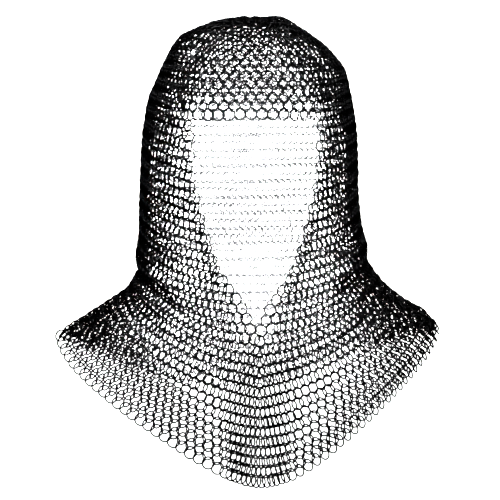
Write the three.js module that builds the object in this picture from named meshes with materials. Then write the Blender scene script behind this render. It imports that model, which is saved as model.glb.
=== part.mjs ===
// A chainmail coif: a mail hood with a V-shaped face opening, woven into a square mantle with mitred corners.
// Millimetres, +Z up, the face looks towards -Y and the wearer's left side lies towards +X.
// The origin is the inside of the crown, where the wearer's head carries the weight.
import * as THREE from 'three';
import { mergeVertices } from 'three/addons/utils/BufferGeometryUtils.js';

// ---- Driving dimensions ------------------------------------------------------------------------

const WIRE = 1.7;                    // round wire of the rings
const WALL = 3 * WIRE;               // woven rings lie about three wires deep
const SEAM_GAP = 0.3;                // left open between neighbouring pieces
const BROW_ROW = 22;                 // rings are counted in rows, down from the top of the crown
const CROWN_ROW = 12;                // the crown ends here and the brow band starts
const NECK_ROW = 42;                 // hood and mantle meet
const HEM_ROW = 58;
const FACET_DEG = 5;                 // one facet round the garment
const FACET_ROWS = 2;                // one facet down it
const SIDE_SEAM_DEG = 105;           // the cheeks end and the nape starts, measured from the front
const NORMAL_STEP = 0.05;            // rows stepped along the surface to find its normal
const MERGE_DISTANCE = 0.001;        // corners closer than this are one

// Turns rows of values into records with the columns' names.
function readTable(columns, rows) {
  return rows.map((values) => Object.fromEntries(columns.map((column, k) => [column, values[k]])));
}

// Each section is one closed loop round the garment, along a row of rings. left and right are half
// widths, front and back are depths, z_... are heights at the sides, the front and the back. lean
// lifts the right side and lowers the left. square is the power of the plan's outline: 2 is an
// ellipse, 1 would be a diamond. opening is half the width of the face opening, 0 where there is none.
const SECTIONS = readTable(
  ['row', 'left', 'right', 'front', 'back', 'z_side', 'z_front', 'z_back', 'lean', 'square', 'opening'],
  [
    [ 0,   0,   0,   0,   0,  2.6,  2.6,  2.6, 0,    2,  0],
    [ 5,  31,  32,  35,  33,   -2,   -2,   -2, 0,    2,  0],
    [10,  60,  58,  64,  63,  -15,  -17,  -15, 0,    2,  0],
    [14,  77,  78,  83,  83,  -32,  -37,  -32, 0,  2.1,  0],
    [18,  88,  91,  95,  98,  -55,  -64,  -54, 0,  2.2,  0],
    [22,  98,  98, 101, 107,  -80,  -94,  -78, 0,  2.2, 61],
    [27, 104, 103, 101, 111, -120, -143, -118, 0,  2.2, 60],
    [32, 106, 104,  98, 109, -161, -192, -158, 0,  2.1, 51],
    [37, 107, 108,  96,  99, -202, -240, -198, 0,    2, 35],
    [42, 109, 118,  96,  87, -242, -289, -237, 0,    2,  6],
    [46, 117, 130, 103,  92, -262, -326, -271, 2,  1.9,  0],
    [50, 142, 153, 112, 104, -282, -362, -307, 3,  1.8,  0],
    [54, 164, 174, 123, 119, -296, -398, -344, 5, 1.65,  0],
    [58, 187, 184, 134, 137, -310, -433, -380, 7,  1.5,  0],
  ],
);

// Each fold is a soft ridge (out above 0) or trough (out below 0) centred on a row and a direction,
// and it fades over half_deg round the garment and over half_rows across the rows. It may run
// aslant, by slant rows for each degree. lift moves the mail up instead of outwards.
const FOLDS = readTable(
  ['name', 'row', 'deg', 'half_deg', 'half_rows', 'slant', 'out', 'lift'],
  [
    ['left neck roll'       , 40.2,  -64, 34, 1.3,     0,   4,  0],
    ['left neck crease'     , 42.8,  -62, 34, 1.1,     0,  -6,  0],
    ['right neck roll'      , 38.8,   70, 28, 1.3,     0,   3,  0],
    ['right neck crease'    , 41.2,   68, 26, 1.1,     0,  -5,  0],
    ['left nape crease'     , 41.6, -140, 24, 1.2,  0.02,  -4,  0],
    ['right nape crease'    , 40.6,  145, 26, 1.2, -0.02,  -4,  0],
    ['left shoulder trough' ,   49,  -58,  9,   5,     0,  -5,  0],
    ['right shoulder trough', 47.5,   62,  9,   4,     0,  -4,  0],
    ['left back trough'     ,   49, -128, 10,   5,     0,  -5,  0],
    ['right back trough'    ,   50,  122, 10,   5,     0,  -4,  0],
    ['left crown corner'    ,   11,  -80, 22, 2.2,     0,   3,  0],
    ['right crown peak'     ,  4.5,   75, 32,   2,     0,   3,  0],
    ['right crown corner'   ,   17,   78, 20,   2,     0, 2.5,  0],
    ['left hem wave'        ,   58,  -32, 16,   8,     0,   0,  6],
    ['left hem lift'        ,   58,  -52, 18,   8,     0,   0,  4],
    ['left corner lift'     ,   58,  -92, 16,   9,     0,   0,  8],
    ['right hem wave'       ,   58,   18, 14,   8,     0,   0, -5],
    ['brow arch'            ,   22,    0, 22,   6,     0,   0,  4],
  ],
);

// Each piece is the mail between two rows. from and to are its ends in degrees from the front,
// positive to the right. 'face' stands for the edge of the face opening on that side.
const PIECES = [
  { name: 'crown', first_row: 0, last_row: CROWN_ROW, from: -180, to: 180 },
  { name: 'brow_band', first_row: CROWN_ROW, last_row: BROW_ROW, from: -180, to: 180 },
  { name: 'left_cheek', first_row: BROW_ROW, last_row: NECK_ROW, from: -SIDE_SEAM_DEG, to: 'face' },
  { name: 'right_cheek', first_row: BROW_ROW, last_row: NECK_ROW, from: 'face', to: SIDE_SEAM_DEG },
  { name: 'nape', first_row: BROW_ROW, last_row: NECK_ROW, from: SIDE_SEAM_DEG, to: 360 - SIDE_SEAM_DEG },
  { name: 'mantle_front_left', first_row: NECK_ROW, last_row: HEM_ROW, from: -90, to: 0 },
  { name: 'mantle_front_right', first_row: NECK_ROW, last_row: HEM_ROW, from: 0, to: 90 },
  { name: 'mantle_back_right', first_row: NECK_ROW, last_row: HEM_ROW, from: 90, to: 180 },
  { name: 'mantle_back_left', first_row: NECK_ROW, last_row: HEM_ROW, from: 180, to: 270 },
];

const blackenedSteel = () => new THREE.MeshStandardMaterial({
  name: 'blackened_steel', color: 0x24262a, roughness: 0.34, metalness: 1,
});

// ---- The garment's surface ---------------------------------------------------------------------

const SECTION_ROWS = SECTIONS.map((section) => section.row);

// Slopes of a curve that goes through one column of the table and never overshoots it.
function columnSlopes(column) {
  const values = SECTIONS.map((section) => section[column]);
  const spans = SECTION_ROWS.slice(1).map((row, k) => row - SECTION_ROWS[k]);
  const chords = spans.map((span, k) => (values[k + 1] - values[k]) / span);
  return values.map((_, k) => {
    if (k === 0) return chords[0];
    if (k === chords.length) return chords[k - 1];
    if (chords[k - 1] * chords[k] <= 0) return 0;
    const before = 2 * spans[k] + spans[k - 1];
    const after = spans[k] + 2 * spans[k - 1];
    return (before + after) / (before / chords[k - 1] + after / chords[k]);
  });
}

const COLUMNS = Object.keys(SECTIONS[0]).filter((column) => column !== 'row');
const SLOPES = Object.fromEntries(COLUMNS.map((column) => [column, columnSlopes(column)]));

// The section at any row, between those of the table.
function sectionAt(row) {
  let k = SECTION_ROWS.length - 2;
  while (k > 0 && row < SECTION_ROWS[k]) k -= 1;
  const span = SECTION_ROWS[k + 1] - SECTION_ROWS[k];
  const t = (row - SECTION_ROWS[k]) / span;
  const section = {};
  for (const column of COLUMNS) {
    const start = SECTIONS[k][column];
    const end = SECTIONS[k + 1][column];
    section[column] = start + (end - start) * (3 - 2 * t) * t * t
      + span * t * (1 - t) * (SLOPES[column][k] * (1 - t) - SLOPES[column][k + 1] * t);
  }
  return section;
}

const signedPower = (value, power) => Math.sign(value) * Math.abs(value) ** power;

// A point of the smooth surface, halfway through the wall, with no folds.
function smoothPoint(row, deg) {
  const section = sectionAt(row);
  const across = Math.sin(THREE.MathUtils.degToRad(deg));
  const forward = Math.cos(THREE.MathUtils.degToRad(deg));
  const width = across < 0 ? section.left : section.right;
  const depth = forward < 0 ? section.back : section.front;
  const tilt = (section.z_front - section.z_back) / 2;
  const dip = (section.z_front + section.z_back) / 2 - section.z_side;
  return new THREE.Vector3(
    width * signedPower(across, 2 / section.square),
    -depth * signedPower(forward, 2 / section.square),
    section.z_side + tilt * forward + dip * forward * forward + section.lean * across,
  );
}

// Outward normal of the smooth surface, from two short steps along it.
function normalAt(row, deg) {
  if (row === 0) return new THREE.Vector3(0, 0, 1);
  const turn = NORMAL_STEP * FACET_DEG;
  const along = smoothPoint(row, deg + turn).sub(smoothPoint(row, deg - turn));
  const down = smoothPoint(row + NORMAL_STEP, deg).sub(smoothPoint(row - NORMAL_STEP, deg));
  return down.cross(along).normalize();
}

// How far the folds move the mail at a place: [outwards, up].
function foldsAt(row, deg) {
  let out = 0;
  let lift = 0;
  for (const fold of FOLDS) {
    const turn = THREE.MathUtils.euclideanModulo(deg - fold.deg + 180, 360) - 180;
    const round = turn / fold.half_deg;
    const across = (row - fold.row - fold.slant * turn) / fold.half_rows;
    const share = Math.exp(-round * round - across * across);
    out += fold.out * share;
    lift += fold.lift * share;
  }
  return [out, lift];
}

// A point of the folded mail, offset outwards from the middle of the wall.
function mailPoint(row, deg, offset) {
  const [out, lift] = foldsAt(row, deg);
  const point = smoothPoint(row, deg).addScaledVector(normalAt(row, deg), out + offset);
  point.z += lift;
  return point;
}

// Direction of the face opening's edge, in degrees from the front.
function faceEdgeDeg(row, side) {
  const section = sectionAt(row);
  const width = side < 0 ? section.left : section.right;
  const across = (section.opening / width) ** (section.square / 2);
  return side * THREE.MathUtils.radToDeg(Math.asin(across));
}

// ---- Walls -------------------------------------------------------------------------------------

// Rows at which a piece has facets: one at each end and one about every second row.
function facetRows(piece) {
  const count = Math.round((piece.last_row - piece.first_row) / FACET_ROWS);
  return Array.from({ length: count + 1 }, (_, k) =>
    piece.first_row + (k / count) * (piece.last_row - piece.first_row));
}

// Directions at which a piece has facets in one row, between its two ends there.
function facetDegs(piece, row) {
  const from = piece.from === 'face' ? faceEdgeDeg(row, 1) : piece.from;
  const to = piece.to === 'face' ? faceEdgeDeg(row, -1) : piece.to;
  const widest = (piece.to === 'face' ? 0 : piece.to) - (piece.from === 'face' ? 0 : piece.from);
  const count = Math.round(widest / FACET_DEG);
  return Array.from({ length: count + 1 }, (_, k) => from + (k / count) * (to - from));
}

// Moves an edge point half a seam gap into its piece.
function pullIn(point, inner) {
  const step = inner.clone().sub(point);
  return point.clone().addScaledVector(step, SEAM_GAP / 2 / step.length());
}

// One face of the wall as a grid of points, pulled in at its seams.
function faceGrid(piece, offset, closed) {
  const grid = facetRows(piece).map((row) => facetDegs(piece, row).map((deg) => mailPoint(row, deg, offset)));
  const last = grid.length - 1;
  const pulled = grid.map((line) => line.slice());
  if (piece.first_row > 0) pulled[0] = grid[0].map((point, k) => pullIn(point, grid[1][k]));
  pulled[last] = grid[last].map((point, k) => pullIn(point, grid[last - 1][k]));
  if (closed) return pulled;
  return pulled.map((line) => {
    const end = line.length - 1;
    return [pullIn(line[0], line[1]), ...line.slice(1, end), pullIn(line[end], line[end - 1])];
  });
}

// Quads between two lines of points, as lists of four corners.
function strip(first, second) {
  return first.slice(1).map((point, k) => [first[k], second[k], second[k + 1], point]);
}

// Turns quads over and keeps their diagonals, so that faces that meet at a seam lie alike.
function turnedOver(quads) {
  return quads.map(([a, b, c, d]) => [a, d, c, b]);
}

// The quads that close a wall round its outer and inner grids.
function wallQuads(outer, inner, closed, topOpen) {
  const column = (grid, k) => grid.map((line) => line.at(k));
  const quads = [strip(outer.at(-1), inner.at(-1))];
  outer.slice(1).forEach((line, i) => {
    quads.push(strip(outer[i], line), turnedOver(strip(inner[i], inner[i + 1])));
  });
  if (topOpen) quads.push(turnedOver(strip(outer[0], inner[0])));
  if (!closed) {
    quads.push(strip(column(outer, 0), column(inner, 0)));
    quads.push(turnedOver(strip(column(outer, -1), column(inner, -1))));
  }
  return quads.flat();
}

// The closed wall of one piece, as a geometry with shared vertices.
function wallGeometry(piece) {
  const closed = piece.to - piece.from === 360;
  const outer = faceGrid(piece, WALL / 2, closed);
  const inner = faceGrid(piece, -WALL / 2, closed);
  const quads = wallQuads(outer, inner, closed, piece.first_row > 0);
  const corners = quads.flatMap(([a, b, c, d]) => [a, b, c, a, c, d]);
  const geometry = new THREE.BufferGeometry().setFromPoints(corners);
  return withoutSlivers(mergeVertices(geometry, MERGE_DISTANCE));
}

// Drops the triangles that have closed up at the top of the crown.
function withoutSlivers(geometry) {
  const index = geometry.getIndex();
  const kept = [];
  for (let i = 0; i < index.count; i += 3) {
    const corners = [index.getX(i), index.getX(i + 1), index.getX(i + 2)];
    if (new Set(corners).size === 3) kept.push(...corners);
  }
  geometry.setIndex(kept);
  geometry.computeVertexNormals();
  return geometry;
}

// ---- The coif ----------------------------------------------------------------------------------

const coif = new THREE.Group();
for (const piece of PIECES) {
  const mesh = new THREE.Mesh(wallGeometry(piece), blackenedSteel());
  mesh.name = piece.name;
  coif.add(mesh);
}

export default coif;
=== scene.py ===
"""A chainmail coif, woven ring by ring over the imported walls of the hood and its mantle.

Metres, +Z up, the face looks towards -Y. The origin is the inside of the crown.
"""
import math
from functools import lru_cache

import bmesh
import bpy
import numpy as np
from bpy.props import FloatProperty, FloatVectorProperty, IntProperty, PointerProperty
from mathutils import Matrix, Vector


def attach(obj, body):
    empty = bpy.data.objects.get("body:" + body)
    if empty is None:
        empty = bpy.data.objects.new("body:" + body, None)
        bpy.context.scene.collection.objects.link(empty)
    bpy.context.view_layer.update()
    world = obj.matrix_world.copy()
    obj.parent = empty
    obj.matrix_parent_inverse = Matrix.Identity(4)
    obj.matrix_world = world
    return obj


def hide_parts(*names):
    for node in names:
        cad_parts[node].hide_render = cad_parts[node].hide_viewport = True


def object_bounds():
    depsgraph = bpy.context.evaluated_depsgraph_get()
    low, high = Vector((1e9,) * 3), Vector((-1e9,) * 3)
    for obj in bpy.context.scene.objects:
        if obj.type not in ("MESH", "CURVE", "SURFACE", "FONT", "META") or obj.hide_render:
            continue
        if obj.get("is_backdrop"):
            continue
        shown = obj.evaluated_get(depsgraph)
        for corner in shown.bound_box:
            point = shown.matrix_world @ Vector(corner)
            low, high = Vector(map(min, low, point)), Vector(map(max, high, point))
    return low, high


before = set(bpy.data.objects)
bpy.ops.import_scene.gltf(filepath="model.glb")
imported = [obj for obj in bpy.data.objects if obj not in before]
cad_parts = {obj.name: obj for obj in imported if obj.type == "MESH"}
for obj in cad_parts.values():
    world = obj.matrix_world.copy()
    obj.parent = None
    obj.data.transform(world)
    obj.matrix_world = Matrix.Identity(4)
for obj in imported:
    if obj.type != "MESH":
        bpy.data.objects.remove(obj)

bl_info = {
    "name": "Chainmail coif",
    "version": (1, 0, 0),
    "blender": (4, 5, 0),
    "location": "View3D > Sidebar > Coif",
    "description": "Weaves a mail hood with a pointed mantle, ring by ring",
    "category": "Add Mesh",
}

MM = 0.001

# ---- The form of the garment, in millimetres ---------------------------------------------------

CROWN_ROW = 12      # rows of rings are counted down from the top of the crown
BROW_ROW = 22
NECK_ROW = 42
HEM_ROW = 58
SIDE_SEAM_DEG = 105     # the cheeks end and the nape starts, measured from the front
HOOD_RINGS = 76         # rings that go on from the brow row down the sides and the back


def read_table(columns, rows):
    """Turns rows of values into one array for each named column."""
    return {name: np.array(values, float) for name, values in zip(columns, zip(*rows))}


# In the tables and in the names of pieces, left and right are as seen from in front.
#
# Each section is one closed loop round the garment, along a row of rings. left and right are half
# widths, front and back are depths, z_... are heights at the sides, the front and the back. lean
# lifts the right side and lowers the left. square is the power of the plan's outline: 2 is an
# ellipse, 1 would be a diamond. opening is half the width of the face opening.
SECTIONS = read_table(
    ("row", "left", "right", "front", "back", "z_side", "z_front", "z_back", "lean", "square", "opening"),
    (
        (0, 0, 0, 0, 0, 2.6, 2.6, 2.6, 0, 2, 0),
        (5, 31, 32, 35, 33, -2, -2, -2, 0, 2, 0),
        (10, 60, 58, 64, 63, -15, -17, -15, 0, 2, 0),
        (14, 77, 78, 83, 83, -32, -37, -32, 0, 2.1, 0),
        (18, 88, 91, 95, 98, -55, -64, -54, 0, 2.2, 0),
        (22, 98, 98, 101, 107, -80, -94, -78, 0, 2.2, 61),
        (27, 104, 103, 101, 111, -120, -143, -118, 0, 2.2, 60),
        (32, 106, 104, 98, 109, -161, -192, -158, 0, 2.1, 51),
        (37, 107, 108, 96, 99, -202, -240, -198, 0, 2, 35),
        (42, 109, 118, 96, 87, -242, -289, -237, 0, 2, 6),
        (46, 117, 130, 103, 92, -262, -326, -271, 2, 1.9, 0),
        (50, 142, 153, 112, 104, -282, -362, -307, 3, 1.8, 0),
        (54, 164, 174, 123, 119, -296, -398, -344, 5, 1.65, 0),
        (58, 187, 184, 134, 137, -310, -433, -380, 7, 1.5, 0),
    ),
)
SECTION_ROWS = SECTIONS.pop("row")

# Each fold is a soft ridge (out above 0) or trough (out below 0) centred on a row and a direction,
# and it fades over half_deg round the garment and over half_rows across the rows. It may run
# aslant, by slant rows for each degree. lift moves the mail up instead of outwards.
FOLD_COLUMNS = ("name", "row", "deg", "half_deg", "half_rows", "slant", "out", "lift")
FOLDS = [
    dict(zip(FOLD_COLUMNS, values))
    for values in (
        ("left neck roll", 40.2, -64, 34, 1.3, 0, 4, 0),
        ("left neck crease", 42.8, -62, 34, 1.1, 0, -6, 0),
        ("right neck roll", 38.8, 70, 28, 1.3, 0, 3, 0),
        ("right neck crease", 41.2, 68, 26, 1.1, 0, -5, 0),
        ("left nape crease", 41.6, -140, 24, 1.2, 0.02, -4, 0),
        ("right nape crease", 40.6, 145, 26, 1.2, -0.02, -4, 0),
        ("left shoulder trough", 49, -58, 9, 5, 0, -5, 0),
        ("right shoulder trough", 47.5, 62, 9, 4, 0, -4, 0),
        ("left back trough", 49, -128, 10, 5, 0, -5, 0),
        ("right back trough", 50, 122, 10, 5, 0, -4, 0),
        ("left crown corner", 11, -80, 22, 2.2, 0, 3, 0),
        ("right crown peak", 4.5, 75, 32, 2, 0, 3, 0),
        ("right crown corner", 17, 78, 20, 2, 0, 2.5, 0),
        ("left hem wave", 58, -32, 16, 8, 0, 0, 6),
        ("left hem lift", 58, -52, 18, 8, 0, 0, 4),
        ("left corner lift", 58, -92, 16, 9, 0, 0, 8),
        ("right hem wave", 58, 18, 14, 8, 0, 0, -5),
        ("brow arch", 22, 0, 22, 6, 0, 0, 4),
    )
]


def column_slopes(values):
    """Slopes of a curve that goes through one column of the table and never overshoots it."""
    spans = np.diff(SECTION_ROWS)
    chords = np.diff(values) / spans
    slopes = np.concatenate([chords[:1], np.zeros(len(chords) - 1), chords[-1:]])
    for k in range(1, len(chords)):
        if chords[k - 1] * chords[k] > 0:
            before = 2 * spans[k] + spans[k - 1]
            after = spans[k] + 2 * spans[k - 1]
            slopes[k] = (before + after) / (before / chords[k - 1] + after / chords[k])
    return slopes


SLOPES = {name: column_slopes(values) for name, values in SECTIONS.items()}


def section_at(row):
    """The section's sizes at any rows, between those of the table."""
    k = np.clip(np.searchsorted(SECTION_ROWS, row, side="right") - 1, 0, len(SECTION_ROWS) - 2)
    span = SECTION_ROWS[k + 1] - SECTION_ROWS[k]
    t = (row - SECTION_ROWS[k]) / span
    section = {}
    for name, values in SECTIONS.items():
        rise = (values[k + 1] - values[k]) * (3 - 2 * t) * t * t
        bend = SLOPES[name][k] * (1 - t) - SLOPES[name][k + 1] * t
        section[name] = values[k] + rise + span * t * (1 - t) * bend
    return section


def smooth_points(row, deg):
    """Points of the smooth surface, halfway through the wall, with no folds."""
    section = section_at(row)
    across = np.sin(np.radians(deg))
    forward = np.cos(np.radians(deg))
    width = np.where(across < 0, section["left"], section["right"])
    depth = np.where(forward < 0, section["back"], section["front"])
    power = 2 / section["square"]
    tilt = (section["z_front"] - section["z_back"]) / 2
    dip = (section["z_front"] + section["z_back"]) / 2 - section["z_side"]
    return np.stack([
        width * np.sign(across) * np.abs(across) ** power,
        -depth * np.sign(forward) * np.abs(forward) ** power,
        section["z_side"] + tilt * forward + dip * forward ** 2 + section["lean"] * across,
    ], -1)


def unit(vectors):
    return vectors / np.linalg.norm(vectors, axis=-1, keepdims=True)


def normals_at(row, deg):
    """Outward normals of the smooth surface, from two short steps along it."""
    step = 0.05
    along = smooth_points(row, deg + 5 * step) - smooth_points(row, deg - 5 * step)
    down = smooth_points(row + step, deg) - smooth_points(row - step, deg)
    return unit(np.cross(down, along))


def mail_points(row, deg):
    """Points of the folded mail, in the middle of the wall."""
    out = np.zeros(np.broadcast(row, deg).shape)
    lift = out.copy()
    for fold in FOLDS:
        turn = (deg - fold["deg"] + 180) % 360 - 180
        across = (row - fold["row"] - fold["slant"] * turn) / fold["half_rows"]
        share = np.exp(-(turn / fold["half_deg"]) ** 2 - across ** 2)
        out += fold["out"] * share
        lift += fold["lift"] * share
    points = smooth_points(row, deg) + normals_at(row, deg) * out[..., None]
    points[..., 2] += lift
    return points


def face_edge_deg(row, side):
    """Direction of the face opening's edge, in degrees from the front."""
    section = section_at(row)
    width = section["left"] if side < 0 else section["right"]
    return side * np.degrees(np.arcsin((section["opening"] / width) ** (section["square"] / 2)))


# ---- The weave ---------------------------------------------------------------------------------

# Rings in a row are numbered from the middle of the back, positive towards the wearer's right and
# negative towards the wearer's left, in steps of 1. Rows alternate by half a number, and ring n of a
# row links the rings n - 1/2 and n + 1/2 of the next. On the crown the rows are squares of four sides,
# and the numbers move out by one more at each corner. Below the brow each row is one ring longer
# than the last: it ends at the face opening, and below the chin its two ends meet in a mitre.

CROWN_CORNERS_DEG = (45, 132)       # back and front corners of the crown, from the middle of the back
BROW_PITCH = 10.4                   # the rings over the brow are pulled this far apart,
BROW_STRETCH = 1.45                 # but by no more than this times their even distance
BROW_STRETCH_ROWS = (10, 18)        # rows where the pull starts and where it is full
BROW_RINGS = 4.5                    # rings on each side of the middle that are pulled apart
BROW_RINGS_SHARE = 0.45             # or this share of them, if that is fewer
BROW_FADE = 5                       # rings over which the pull fades
BROW_FADE_SHARE = 0.5
GATHER_PITCH = ((43, 7.0), (45, 4.8), (58, 4.8))     # rings beside the mitre, by row
GATHER_RINGS = 5                    # rings on each side of the mitre that close up
GATHER_FADE = 3
LINK_SPAN = (6.2, 9.9)              # centres of linked rings stay this near and this far
SIDE_SPAN = (4.4, 16.0)             # and those of neighbours in a row
SETTLE_STEPS = 240
SETTLE_PACE = 1.5                   # a ring moves this many times the mean of what its neighbours want
SETTLE_ROWS = 0.1                   # and at most this many rows
SETTLE_DEG = 3                      # and degrees in a step
ROW_HOLD = 0.004                    # how firmly a ring is held to its row
DEG_HOLD = 0.001                    # and to its direction
EDGE_HOLD = 0.2                     # and to its direction beside the face opening


def ring_count(row):
    return 4 * row if row <= BROW_ROW else HOOD_RINGS + row - BROW_ROW


def ring_numbers(row):
    count = ring_count(row)
    if row > BROW_ROW:
        return np.arange(count) - (count - 1) / 2
    return np.arange(-count // 2, count // 2) + (0.5 if row % 2 == 0 else 1)


def fade(values, start, end):
    t = np.clip((values - start) / (end - start), 0, 1)
    return 1 - t * t * (3 - 2 * t)


def gathered(half_count, length, pitch, rings, faded):
    """Ring numbers from 0 to half_count and their distances along a length that closes up at its end."""
    numbers = np.linspace(0, half_count, 400)
    closed = fade(half_count - numbers, rings, rings + faded)

    def total(weights):
        steps = (weights[1:] + weights[:-1]) / 2 * np.diff(numbers)
        return np.concatenate([[0], np.cumsum(steps)])

    rest, tight = total(1 - closed), total(closed)
    return numbers, rest * (length - pitch * tight[-1]) / rest[-1] + pitch * tight


def row_arcs(row):
    """Directions from the middle of the back, and the distances along the row to them."""
    back_deg = np.linspace(-180, 180, 721)
    points = mail_points(np.full_like(back_deg, row), back_deg + 180)
    arcs = np.concatenate([[0], np.cumsum(np.linalg.norm(np.diff(points, axis=0), axis=1))])
    return back_deg, arcs - np.interp(0, back_deg, arcs)


def crown_side(row, side, back_deg, arcs):
    """Ring numbers and distances on one side of a crown row: back, back corner, front corner, front."""
    corners = np.interp([0, side * CROWN_CORNERS_DEG[0], side * CROWN_CORNERS_DEG[1], side * 180],
                        back_deg, arcs)
    half, length = row / 2, abs(corners[3] - corners[2])
    even = length / half
    first, full = BROW_STRETCH_ROWS
    pulled = np.clip((row - first) / (full - first), 0, 1)
    pitch = even + (min(BROW_PITCH, even * BROW_STRETCH) - even) * pulled
    numbers, places = gathered(half, length, pitch, min(BROW_RINGS, half * BROW_RINGS_SHARE),
                               min(BROW_FADE, half * BROW_FADE_SHARE))
    return (np.concatenate([[0, row / 2], 3 * row / 2 + numbers]),
            np.concatenate([corners[:2], corners[2] + side * places]))


def ring_degs(row, numbers):
    """Directions of a row's rings, in degrees from the front, before the weave settles."""
    back_deg, arcs = row_arcs(row)
    half = ring_count(row) / 2
    if row <= BROW_ROW:
        plus, minus = (crown_side(row, side, back_deg, arcs) for side in (1, -1))
        known = np.concatenate([-minus[0][::-1], plus[0][1:]])
        places = np.concatenate([minus[1][::-1], plus[1][1:]])
    elif row <= NECK_ROW:
        known = np.array([-half, 0, half])
        edges = [face_edge_deg(row, 1) - 180, 0, face_edge_deg(row, -1) + 180]
        places = np.interp(edges, back_deg, arcs)
    else:
        pitch = np.interp(row, *zip(*GATHER_PITCH))
        sides = [gathered(half, abs(arcs[end]), pitch, GATHER_RINGS, GATHER_FADE) for end in (0, -1)]
        known = np.concatenate([-sides[0][0][::-1], sides[1][0][1:]])
        places = np.concatenate([-sides[0][1][::-1], sides[1][1][1:]])
    return np.interp(np.interp(numbers, known, places), arcs, back_deg) + 180


def linked_rings(row, number):
    """The rings of the next row that a ring links."""
    if row == BROW_ROW and abs(number) > HOOD_RINGS / 2:
        return []
    if row >= BROW_ROW:
        linked = [number - 0.5, number + 0.5]
        at_mitre = row > NECK_ROW and number == -(ring_count(row) - 1) / 2
        return linked + [-linked[0]] if at_mitre else linked
    side = math.floor(number / row + 0.5 - 1e-9)
    linked = [number + side - 0.5, number + side + 0.5]
    first_of_side = math.floor((number - 1) / row + 0.5 - 1e-9) != side
    return [linked[0] - 1] + linked if first_of_side else linked


def weave():
    """Rows and numbers of all rings below the top one, and which of them link and lie side by side."""
    places = {(row, number): None for row in range(1, HEM_ROW + 1) for number in ring_numbers(row)}
    for place, key in enumerate(places):
        places[key] = place

    def index(row, number):
        half = ring_count(row) / 2
        if row <= BROW_ROW:
            number = half - (half - number) % (2 * half)
        elif row > NECK_ROW and number > half:
            number -= 2 * half
        return places.get((row, number))

    links, sides = [], []
    for (row, number), ring in places.items():
        beside = index(row, number + 1)
        if beside is not None:
            sides.append((ring, beside))
        if row < HEM_ROW:
            links += [(ring, index(row + 1, other)) for other in linked_rings(row, number)]
    rows, numbers = np.array(list(places)).T
    return rows, numbers, np.array(links), np.array(sides)


def slopes_of(function, rows, degs, step=0.01):
    """How a point of the surface moves with its row and with its direction."""
    by_row = (function(rows + step, degs) - function(rows - step, degs)) / (2 * step)
    by_deg = (function(rows, degs + step) - function(rows, degs - step)) / (2 * step)
    return by_row, by_deg


def pull(points, pairs, span, move, shares):
    """Adds the moves that bring each pair of rings back within its span."""
    apart = points[pairs[:, 1]] - points[pairs[:, 0]]
    length = np.linalg.norm(apart, axis=1)
    wanted = np.clip(length, *span)
    half = ((length - wanted) / length / 2)[:, None] * apart
    for end, sign in ((0, 1), (1, -1)):
        np.add.at(move, pairs[:, end], sign * half)
        np.add.at(shares, pairs[:, end], length != wanted)


@lru_cache(maxsize=1)
def settled_weave():
    """All rings below the top one, settled on the surface so that linked rings hang on each other."""
    row_of, number_of, links, sides = weave()
    start = np.concatenate([ring_degs(row, ring_numbers(row)) for row in range(1, HEM_ROW + 1)])
    rows, degs = row_of.astype(float), start.copy()
    half_counts = np.array([ring_count(row) / 2 for row in row_of])
    open_row = (row_of > BROW_ROW) & (row_of <= NECK_ROW)
    at_edge = open_row & (np.abs(number_of) > half_counts - 1)
    hold = np.where(at_edge, EDGE_HOLD, DEG_HOLD)
    for _ in range(SETTLE_STEPS):
        points = mail_points(rows, degs)
        move = np.zeros_like(points)
        shares = np.zeros(len(points))
        pull(points, links, LINK_SPAN, move, shares)
        pull(points, sides, SIDE_SPAN, move, shares)
        move *= (SETTLE_PACE / np.maximum(shares, 1))[:, None]
        # The step in rows and degrees that comes nearest to the move, by least squares.
        by_row, by_deg = slopes_of(mail_points, rows, degs)
        a, b, c = (by_row ** 2).sum(1), (by_row * by_deg).sum(1), (by_deg ** 2).sum(1)
        u, v = (by_row * move).sum(1), (by_deg * move).sum(1)
        scale = a * c - b * b
        rows += np.clip((c * u - b * v) / scale, -SETTLE_ROWS, SETTLE_ROWS) + (row_of - rows) * ROW_HOLD
        degs += np.clip((a * v - b * u) / scale, -SETTLE_DEG, SETTLE_DEG) + (start - degs) * hold
    return row_of, number_of, rows, degs, sides


# How far a ring leans out of the cloth, by the distance between its row's rings.
LEANS = ((4.4, 48), (5.5, 31), (6.5, 26), (12, 24), (14, 22))
LEAN_SPREAD_DEG = 2.0       # chance differences between rings
NOD_DEG = 2                 # how far a ring tips forward
NOD_SPREAD_DEG = 2.0
PLACE_SPREAD = 0.12         # in millimetres
TOP_RING = (0, 0, 2.6)      # place of the ring at the top of the crown


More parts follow.
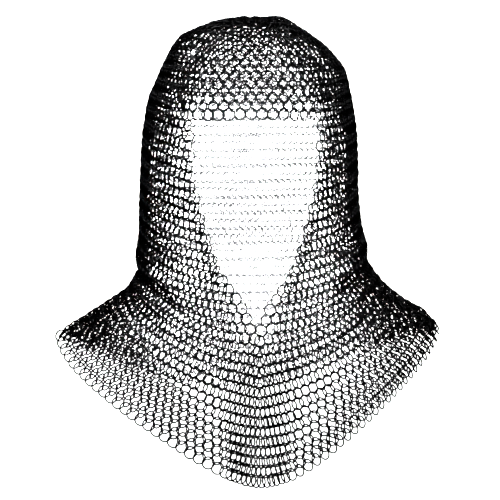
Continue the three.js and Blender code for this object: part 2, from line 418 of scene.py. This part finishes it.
@lru_cache(maxsize=1)
def ring_frames():
    """Row, number, direction and centre of every ring, its axis up the column and its own axis."""
    row_of, number_of, rows, degs, sides = settled_weave()
    chance = np.random.default_rng(11)
    points = mail_points(rows, degs)
    normals = unit(np.cross(*slopes_of(mail_points, rows, degs)))
    across = np.zeros_like(points)
    reach = np.zeros(len(points))
    shares = np.zeros(len(points))
    gaps = points[sides[:, 1]] - points[sides[:, 0]]
    for end in (0, 1):
        np.add.at(across, sides[:, end], gaps)
        np.add.at(reach, sides[:, end], np.linalg.norm(gaps, axis=1))
        np.add.at(shares, sides[:, end], 1)
    across = unit(across - normals * (across * normals).sum(1, keepdims=True))
    up = np.cross(normals, across)
    lean = np.interp(reach / shares, *zip(*LEANS))
    lean = np.radians(lean + chance.normal(0, LEAN_SPREAD_DEG, len(lean)))
    lean *= np.where(row_of % 2 == 0, 1, -1)
    nod = np.radians(NOD_DEG + chance.normal(0, NOD_SPREAD_DEG, len(lean)))
    through = (np.sin(lean)[:, None] * across + (np.cos(lean) * np.cos(nod))[:, None] * normals
               - (np.cos(lean) * np.sin(nod))[:, None] * up)
    points += chance.normal(0, PLACE_SPREAD, points.shape)
    return row_of, number_of, degs, points, up, unit(through)


# ---- Ring and cloth meshes ---------------------------------------------------------------------


def ring_mesh(sizes):
    """One butted ring round its own Z axis: a round wire section spun through a full turn."""
    bm = bmesh.new()
    layer = bm.loops.layers.uv.new("wire")
    turns, sides = sizes.facets_round, sizes.facets_wire
    middle = (sizes.bore + sizes.wire) / 2
    place = Matrix.Translation((middle, 0, 0)) @ Matrix.Rotation(math.pi / 2, 4, "X")
    section = bmesh.ops.create_circle(bm, segments=sides, radius=sizes.wire / 2, matrix=place)["verts"]
    edges = {edge for vert in section for edge in vert.link_edges}
    bmesh.ops.spin(bm, geom=list(section) + list(edges), axis=(0, 0, 1), cent=(0, 0, 0),
                   angle=2 * math.pi, steps=turns, use_merge=True)
    bmesh.ops.recalc_face_normals(bm, faces=bm.faces)
    for face in bm.faces:
        face.smooth = True
        middle_of_face = face.calc_center_median()
        turn = math.atan2(middle_of_face.y, middle_of_face.x)
        round_wire = math.atan2(middle_of_face.z, middle_of_face.xy.length - middle)
        for loop in face.loops:
            x, y, z = loop.vert.co
            loop_turn = near(math.atan2(y, x), turn)
            loop_round = near(math.atan2(z, math.hypot(x, y) - middle), round_wire)
            loop[layer].uv = (loop_turn / (2 * math.pi) + 0.5, loop_round / (2 * math.pi) + 0.5)
    mesh = bpy.data.meshes.new("ring")
    bm.to_mesh(mesh)
    bm.free()
    return mesh


def near(angle, other):
    """The angle, moved by whole turns until it is within half a turn of the other."""
    return angle - 2 * math.pi * round((angle - other) / (2 * math.pi))


def piece_of(row, number, deg):
    """The piece of mail that a ring belongs to."""
    if row <= CROWN_ROW:
        return "crown"
    if row <= BROW_ROW:
        return "brow_band"
    if row <= NECK_ROW:
        deg = (deg + 180) % 360 - 180
        if abs(deg) > SIDE_SEAM_DEG:
            return "nape"
        return "left_cheek" if deg < 0 else "right_cheek"
    end = "back" if abs(number) < ring_count(row) / 4 else "front"
    return "mantle_" + end + ("_left" if number > 0 else "_right")


def ring_places(name):
    """The matrices that put the piece's rings in their places, in metres."""
    places = []
    if name == "crown":
        places.append(Matrix.Translation(Vector(TOP_RING) * MM))
    for row, number, deg, point, rise, axis in zip(*ring_frames()):
        if piece_of(row, number, deg) != name:
            continue
        place = Matrix((np.cross(rise, axis), rise - axis * (rise @ axis), axis)).transposed()
        place.normalize()
        places.append(Matrix.Translation(Vector(point) * MM) @ place.to_4x4())
    return places


def weave_piece(name, sizes, material):
    """Joins a copy of the ring for each of the piece's rings into one mesh."""
    chance = np.random.default_rng(sum(map(ord, name)))
    ring = ring_mesh(sizes)
    places = ring_places(name)
    bm = bmesh.new()
    for place in places:
        before = len(bm.verts)
        bm.from_mesh(ring)
        bm.verts.ensure_lookup_table()
        roll = Matrix.Rotation(chance.uniform(0, 2 * math.pi), 4, "Z")
        bmesh.ops.transform(bm, matrix=place @ roll, verts=bm.verts[before:])
    mesh = bpy.data.meshes.new("mail_" + name)
    bm.to_mesh(mesh)
    bm.free()
    tone = mesh.attributes.new("ring_tone", "FLOAT", "POINT")
    tones = np.repeat(chance.uniform(0, 1, len(places)), len(ring.vertices))
    tone.data.foreach_set("value", tones.astype(np.float32))
    bpy.data.meshes.remove(ring)
    mesh.materials.append(material)
    piece = bpy.data.objects.new("mail_" + name, mesh)
    bpy.context.scene.collection.objects.link(piece)
    return piece, len(places)


def add_mail(name, context):
    """Weaves a piece, gives it its steel, hangs it from the root and hides the wall that it stands for."""
    piece, count = weave_piece(name, context.scene.coif_rings, blackened_steel(context.scene.coif_steel))
    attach(piece, "root")
    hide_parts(name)
    if name in NAPE_LIT:
        nape_lit().objects.link(piece)
    print(piece.name, count, "rings")


# ---- Materials ---------------------------------------------------------------------------------


class Shade:
    """A shader socket, with arithmetic that adds Math nodes."""

    def __init__(self, tree, socket):
        self.tree = tree
        self.socket = socket

    def node(self, kind, output=0, settings=None, **inputs):
        """Adds a node: settings first, then its input sockets, by name or as i0, i1 and so on by place."""
        node = self.tree.nodes.new(kind)
        for name, value in (settings or {}).items():
            setattr(node, name, value)
        for name, value in inputs.items():
            by_place = name[0] == "i" and name[1:].isdigit()
            socket = node.inputs[int(name[1:]) if by_place else name.replace("_", " ")]
            if isinstance(value, Shade):
                self.tree.links.new(value.socket, socket)
            else:
                socket.default_value = value
        return Shade(self.tree, node.outputs[output])

    def math(self, operation, first, second=0.0):
        return self.node("ShaderNodeMath", settings={"operation": operation}, i0=first, i1=second)

    def __add__(self, other):
        return self.math("ADD", self, other)

    __radd__ = __add__

    def __mul__(self, other):
        return self.math("MULTIPLY", self, other)

    __rmul__ = __mul__

    def __sub__(self, other):
        return self.math("SUBTRACT", self, other)

    def __rsub__(self, other):
        return self.math("SUBTRACT", other, self)

    def from_middle(self):
        """How far a share is from a half."""
        return self.math("ABSOLUTE", self - 0.5)

    def ramp(self, low, high):
        """0 below low, 1 above high and smooth between."""
        return self.node("ShaderNodeMapRange", settings={"interpolation_type": "SMOOTHSTEP"},
                         Value=self, From_Min=low, From_Max=high)

    def mix(self, dark, light):
        """A colour between two, by this share."""
        return self.node("ShaderNodeMix", output=2, settings={"data_type": "RGBA"},
                         i0=self, i6=dark, i7=light)


def new_material(name):
    """A node material with its shader and an output for expressions to start from."""
    material = bpy.data.materials.new(name)
    material.use_nodes = True
    tree = material.node_tree
    shader = next(node for node in tree.nodes if node.type == "BSDF_PRINCIPLED")
    return material, shader, Shade(tree, None)


STEEL = "blackened_steel_wire"
PATCH_SCALE = 90.0                  # patches of wear, about a ring across
GRAIN_SCALE = 1400.0                # grain of the oxide
INSIDE_BEND = (0.30, 0.5)           # part of the wire's round that faces the hole of its ring
WORN_PATCHES = (0.42, 0.68)         # strength of the patches where wear starts and where it is full
WORN_RINGS = (0.75, 1.0)            # tones of the rings that are worn all round,
WORN_RING_SHARE = 0.35              # and how far
JOINT_WIDTH = (0.002, 0.006)        # edges of the joint, in turns round the ring from its middle
JOINT_COLOUR = (0.004, 0.004, 0.004, 1)
BUMP_HEIGHT = 0.08 * MM


def blackened_steel(colours):
    """Steel wire with a black oxide coat, worn to brighter metal inside the bend of each ring."""
    known = bpy.data.materials.get(STEEL)
    if known:
        return known
    material, shader, start = new_material(STEEL)
    tree = start.tree
    uv = start.node("ShaderNodeUVMap", settings={"uv_map": "wire"})
    place = start.node("ShaderNodeTexCoord", output=3)
    along = start.node("ShaderNodeSeparateXYZ", output=0, Vector=uv)
    round_wire = start.node("ShaderNodeSeparateXYZ", output=1, Vector=uv)
    tone = start.node("ShaderNodeAttribute", output=2, settings={"attribute_name": "ring_tone"})
    patches = start.node("ShaderNodeTexNoise", Vector=place, Scale=PATCH_SCALE, Detail=3.0)
    grain = start.node("ShaderNodeTexNoise", Vector=place, Scale=GRAIN_SCALE, Detail=2.0)
    inside = round_wire.from_middle().ramp(*INSIDE_BEND)
    wear = inside * patches.ramp(*WORN_PATCHES) + tone.ramp(*WORN_RINGS) * WORN_RING_SHARE
    joint = 1 - along.from_middle().ramp(*JOINT_WIDTH)
    metal = start.math("MINIMUM", wear, 1.0).mix((*colours.oxide, 1), (*colours.worn, 1))
    colour = joint.mix(metal, JOINT_COLOUR)
    tree.links.new(colour.socket, shader.inputs["Base Color"])
    roughness = 0.18 + 0.05 * patches + 0.05 * tone - 0.03 * wear + 0.3 * joint
    tree.links.new(roughness.socket, shader.inputs["Roughness"])
    bump = start.node("ShaderNodeBump", Strength=0.25, Distance=BUMP_HEIGHT,
                      Height=grain - 2.0 * joint)
    tree.links.new(bump.socket, shader.inputs["Normal"])
    shader.inputs["Metallic"].default_value = 1.0
    shader.inputs["Specular Tint"].default_value = (*colours.edge, 1)
    return material


# ---- Stage, light and camera -------------------------------------------------------------------

CAMERA_AZIMUTH = -3.5       # degrees to the wearer's right of straight in front
CAMERA_ELEVATION = 4.0
CAMERA_DISTANCE = 2.2
CAMERA_LENS = 160.0
SENSOR_WIDTH = 36
CLIP_END = 50
AIM_HEIGHT = -0.2257

SOFTBOXES = (               # name, azimuth, height, distance, size, watts
    ("key", -14, 0.75, 2.0, 0.7, 15),
    ("fill", 40, 0.4, 2.4, 0.5, 9),
    ("back_left", 150, 1.2, 2.3, 0.8, 10),
    ("back_right", -140, 1.2, 2.3, 0.8, 10),
)
OVERHEAD_HEIGHT = 2.0
OVERHEAD_SIZE = 0.5
OVERHEAD_WATTS = 22
INNER_PLACE = (0, -0.06, -0.2)      # two cards of light inside the hood, turned to the nape
INNER_HEIGHT = 0.34
INNER_SPREAD_DEG = 60
INNER_CARDS = (             # name, width, watts
    ("inside", 0.12, 70),
    ("inside_nape", 0.16, 240),
)
NAPE_LIT = ("nape", "mantle_back_left", "mantle_back_right")    # all that inside_nape lights

FLOOR_CURVE_STEPS = 12
FLOOR_ROUND_STEPS = 64
FLOOR_MERGE = 1e-5
FLOOR_ROUGHNESS = 0.9


def around(azimuth, distance, height):
    """A point at this direction from the front, as a camera's azimuth is counted."""
    turn = math.radians(azimuth)
    return Vector((math.sin(turn) * distance, -math.cos(turn) * distance, height))


def look_at(thing, target):
    thing.rotation_euler = (target - thing.location).to_track_quat("-Z", "Y").to_euler()


def add_camera(context):
    """The camera, straight in front and a little above the face."""
    data = bpy.data.cameras.new("camera")
    data.lens = CAMERA_LENS
    data.sensor_width = SENSOR_WIDTH
    data.clip_end = CLIP_END
    camera = bpy.data.objects.new("camera", data)
    context.scene.collection.objects.link(camera)
    rise = math.radians(CAMERA_ELEVATION)
    target = Vector((0, 0, AIM_HEIGHT))
    camera.location = target + around(CAMERA_AZIMUTH, CAMERA_DISTANCE * math.cos(rise),
                                      CAMERA_DISTANCE * math.sin(rise))
    look_at(camera, target)
    context.scene.camera = camera
    context.scene.view_settings.view_transform = "Standard"


def add_light(context, name, place, target, sizes, watts):
    """One rectangle of light that the camera doesn't see."""
    data = bpy.data.lights.new(name, "AREA")
    data.shape = "RECTANGLE"
    data.size, data.size_y = sizes
    data.energy = watts
    lamp = bpy.data.objects.new(name, data)
    lamp.location = place
    look_at(lamp, target)
    lamp.visible_camera = False
    context.scene.collection.objects.link(lamp)
    return lamp


def nape_lit():
    """The collection of pieces seen through the face opening, which a card of their own lights."""
    name = "lit_behind_face"
    return bpy.data.collections.get(name) or bpy.data.collections.new(name)


def add_lights(context):
    """Small soft boxes in front, behind and overhead, and two cards of light inside the hood."""
    target = Vector((0, 0, AIM_HEIGHT))
    for name, azimuth, height, distance, size, watts in SOFTBOXES:
        place = target + around(azimuth, distance, height)
        add_light(context, name, place, target, (size, size), watts)
    add_light(context, "overhead", Vector((0, 0, OVERHEAD_HEIGHT)), target,
              (OVERHEAD_SIZE, OVERHEAD_SIZE), OVERHEAD_WATTS)
    place = Vector(INNER_PLACE)
    for name, width, watts in INNER_CARDS:
        card = add_light(context, name, place, place + Vector((0, 1, 0)), (width, INNER_HEIGHT), watts)
        card.data.spread = math.radians(INNER_SPREAD_DEG)
        if name == "inside_nape":
            card.light_linking.receiver_collection = nape_lit()
    world = context.scene.world or bpy.data.worlds.new("studio")
    context.scene.world = world
    world.use_nodes = True
    world.node_tree.nodes["Background"].inputs["Strength"].default_value = 0


def add_stage(context):
    """A round pale floor whose outer third curves up into a wall on all sides."""
    sizes = context.scene.coif_stage
    bm = bmesh.new()
    floor_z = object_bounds()[0][2] - sizes.drop
    bend = sizes.radius / 3
    middle = bm.verts.new((0, 0, floor_z))
    rim = bm.verts.new((sizes.radius - bend, 0, floor_z))
    bm.edges.new((middle, rim))
    curve = bmesh.ops.spin(bm, geom=[rim], axis=(0, -1, 0), cent=(sizes.radius - bend, 0, floor_z + bend),
                           angle=math.pi / 2, steps=FLOOR_CURVE_STEPS)
    top = next(item for item in curve["geom_last"] if isinstance(item, bmesh.types.BMVert))
    wall = bmesh.ops.extrude_vert_indiv(bm, verts=[top])
    bmesh.ops.translate(bm, verts=wall["verts"], vec=(0, 0, sizes.wall))
    bmesh.ops.spin(bm, geom=bm.verts[:] + bm.edges[:], axis=(0, 0, 1), cent=(0, 0, 0),
                   angle=2 * math.pi, steps=FLOOR_ROUND_STEPS, use_merge=True)
    bmesh.ops.remove_doubles(bm, verts=bm.verts, dist=FLOOR_MERGE)
    bmesh.ops.recalc_face_normals(bm, faces=bm.faces)
    for face in bm.faces:
        face.smooth = True
    mesh = bpy.data.meshes.new("floor")
    bm.to_mesh(mesh)
    bm.free()
    material, shader, _ = new_material("pale_floor")
    shader.inputs["Base Color"].default_value = (*sizes.colour, 1)
    shader.inputs["Roughness"].default_value = FLOOR_ROUGHNESS
    shader.inputs["Emission Color"].default_value = (1, 1, 1, 1)
    shader.inputs["Emission Strength"].default_value = sizes.glow
    mesh.materials.append(material)
    floor = bpy.data.objects.new("floor", mesh)
    floor.visible_glossy = False
    context.scene.collection.objects.link(floor)
    floor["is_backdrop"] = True


# ---- Settings, operators and panel -------------------------------------------------------------


class CoifRings(bpy.types.PropertyGroup):
    """Sizes of the rings."""

    wire: FloatProperty(name="Wire", description="Diameter of the ring's wire", default=1.7 * MM,
                        min=0.0005, max=0.003, unit="LENGTH", precision=4)
    bore: FloatProperty(name="Bore", description="Inner diameter of a ring", default=9.8 * MM,
                        min=0.004, max=0.02, unit="LENGTH", precision=4)
    facets_round: IntProperty(name="Facets round", description="Steps round a ring", default=14,
                              min=8, max=32)
    facets_wire: IntProperty(name="Facets of the wire", description="Sides of the wire's section",
                             default=5, min=4, max=8)


class CoifSteel(bpy.types.PropertyGroup):
    """Colours of the steel."""

    oxide: FloatVectorProperty(name="Oxide", description="Colour of the blackened wire",
                               default=(0.02, 0.0203, 0.021), subtype="COLOR", min=0, max=1)
    worn: FloatVectorProperty(name="Worn steel", description="Colour where rings rub each other",
                              default=(0.045, 0.046, 0.048), subtype="COLOR", min=0, max=1)
    edge: FloatVectorProperty(name="Edge", description="Tint of what the wire reflects at its edges",
                              default=(0.1, 0.1, 0.1), subtype="COLOR", min=0, max=1)


class CoifStage(bpy.types.PropertyGroup):
    """Sizes and colour of the floor."""

    drop: FloatProperty(name="Drop", description="How far the floor lies below the mail", default=0.5,
                        unit="LENGTH")
    radius: FloatProperty(name="Radius", description="Distance from the coif to the wall", default=5.0,
                          unit="LENGTH")
    wall: FloatProperty(name="Wall", description="Height of the wall", default=4.0, unit="LENGTH")
    glow: FloatProperty(name="Glow", description="Light that the floor and wall give off", default=1.0)
    colour: FloatVectorProperty(name="Colour", description="Colour of floor and wall",
                                default=(0.9, 0.9, 0.9), subtype="COLOR", min=0, max=1)


class COIF_OT_stage(bpy.types.Operator):
    """Set the camera, the lights and the pale floor"""

    bl_idname = "coif.stage"
    bl_label = "Stage"

    def execute(self, context):
        add_camera(context)
        add_lights(context)
        add_stage(context)
        return {"FINISHED"}


class COIF_OT_crown(bpy.types.Operator):
    """Weave the round top of the hood"""

    bl_idname = "coif.crown"
    bl_label = "Crown"

    def execute(self, context):
        add_mail("crown", context)
        return {"FINISHED"}


class COIF_OT_brow_band(bpy.types.Operator):
    """Weave the band round the brow, with the free edge over the face"""

    bl_idname = "coif.brow_band"
    bl_label = "Brow band"

    def execute(self, context):
        add_mail("brow_band", context)
        return {"FINISHED"}


class COIF_OT_cheeks(bpy.types.Operator):
    """Weave the two cheeks beside the face opening"""

    bl_idname = "coif.cheeks"
    bl_label = "Cheeks"

    def execute(self, context):
        for side in ("left", "right"):
            add_mail(side + "_cheek", context)
        return {"FINISHED"}


class COIF_OT_nape(bpy.types.Operator):
    """Weave the back of the hood down to the neck"""

    bl_idname = "coif.nape"
    bl_label = "Nape"

    def execute(self, context):
        add_mail("nape", context)
        return {"FINISHED"}


class COIF_OT_mantle(bpy.types.Operator):
    """Weave the four quarters of the mantle over chest, shoulders and back"""

    bl_idname = "coif.mantle"
    bl_label = "Mantle"

    def execute(self, context):
        for end in ("front", "back"):
            for side in ("left", "right"):
                add_mail("mantle_" + end + "_" + side, context)
        return {"FINISHED"}


OPERATORS = (COIF_OT_stage, COIF_OT_crown, COIF_OT_brow_band, COIF_OT_cheeks, COIF_OT_nape, COIF_OT_mantle)


class COIF_PT_panel(bpy.types.Panel):
    """Lists the coif's sizes, colours and pieces"""

    bl_idname = "COIF_PT_panel"
    bl_label = "Chainmail coif"
    bl_space_type = "VIEW_3D"
    bl_region_type = "UI"
    bl_category = "Coif"

    def draw(self, context):
        for group in SETTINGS:
            settings = getattr(context.scene, group)
            box = self.layout.box()
            for name in settings.bl_rna.properties.keys():
                if name not in ("rna_type", "name"):
                    box.prop(settings, name)
        for operator in OPERATORS:
            self.layout.operator(operator.bl_idname)


SETTINGS = {"coif_rings": CoifRings, "coif_steel": CoifSteel, "coif_stage": CoifStage}
CLASSES = (*SETTINGS.values(), *OPERATORS, COIF_PT_panel)


def register():
    for cls in CLASSES:
        bpy.utils.register_class(cls)
    for name, group in SETTINGS.items():
        setattr(bpy.types.Scene, name, PointerProperty(type=group))


def unregister():
    for name in SETTINGS:
        delattr(bpy.types.Scene, name)
    for cls in reversed(CLASSES):
        bpy.utils.unregister_class(cls)


def main():
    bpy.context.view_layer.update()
    register()
    for operator in OPERATORS:
        group, name = operator.bl_idname.split(".")
        getattr(getattr(bpy.ops, group), name)()


if __name__ == "__main__":
    main()
